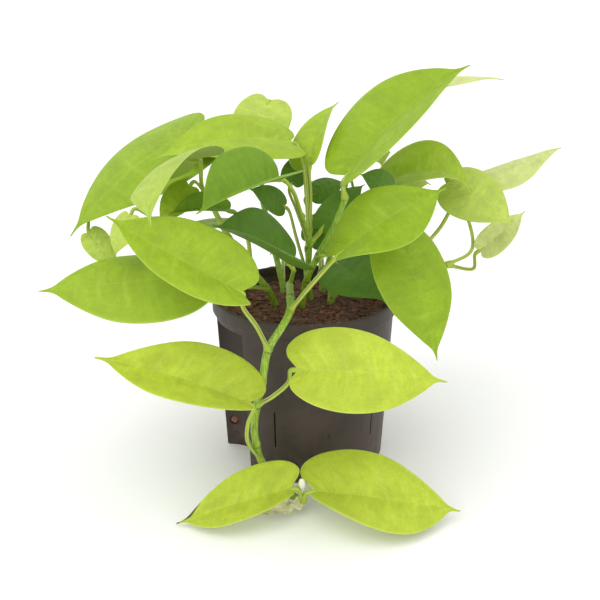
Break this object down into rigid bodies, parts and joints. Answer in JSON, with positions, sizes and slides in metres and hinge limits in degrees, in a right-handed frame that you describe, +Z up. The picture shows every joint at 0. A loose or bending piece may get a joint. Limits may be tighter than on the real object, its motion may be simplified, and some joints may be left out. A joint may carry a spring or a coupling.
{
  "type": "potted pothos plant",
  "caption": "Trailing houseplant with lime-green heart-shaped leaves on short vines, growing in a round dark nursery pot filled with bark substrate.",
  "frame": {"origin": "centre of the pot's foot, on the surface it stands on", "axes": "+Z up along the pot's axis; the plant's front, with the vine that trails over the rim, faces -Y; +X to the right seen from the front"},
  "size_m": [0.3591, 0.265, 0.2784],
  "materials": {
    "leaf": "satin",
    "vine": "satin",
    "dry_sheath": "matte",
    "pot": "satin",
    "substrate": "matte"
  },
  "bodies": {
    "root": {"leaf_01": "leaf", "leaf_02": "leaf", "leaf_03": "leaf", "leaf_04": "leaf", "leaf_05": "leaf", "leaf_06": "leaf", "leaf_07": "leaf", "leaf_08": "leaf", "leaf_09": "leaf", "leaf_10": "leaf", "leaf_11": "leaf", "leaf_12": "leaf", "leaf_13": "leaf", "leaf_14": "leaf", "leaf_15": "leaf", "leaf_16": "leaf", "leaf_17": "leaf", "leaf_18": "leaf", "leaf_19": "leaf", "leaf_20": "leaf", "leaf_21": "leaf", "leaf_22": "leaf", "leaf_23": "leaf", "leaf_24": "leaf", "leaf_25": "leaf", "leaf_26": "leaf", "leaf_27": "leaf", "leaf_28": "leaf", "leaf_29": "leaf", "leaf_30": "leaf", "leaf_31": "leaf", "leaf_32": "leaf", "leaf_33": "leaf", "leaf_34": "leaf", "leaf_35": "leaf", "leaf_36": "leaf", "leaf_37": "leaf", "leaf_38": "leaf", "leaf_39": "leaf", "leaf_40": "leaf", "vine_front": "vine", "vine_tall": "vine", "vine_centre": "vine", "vine_left": "vine", "vine_right": "vine", "vine_back_left": "vine", "vine_back_right": "vine", "tip_sheath": "dry_sheath", "pot": "pot", "chip": "substrate", "substrate": "substrate"}
  },
  "joints": []
}
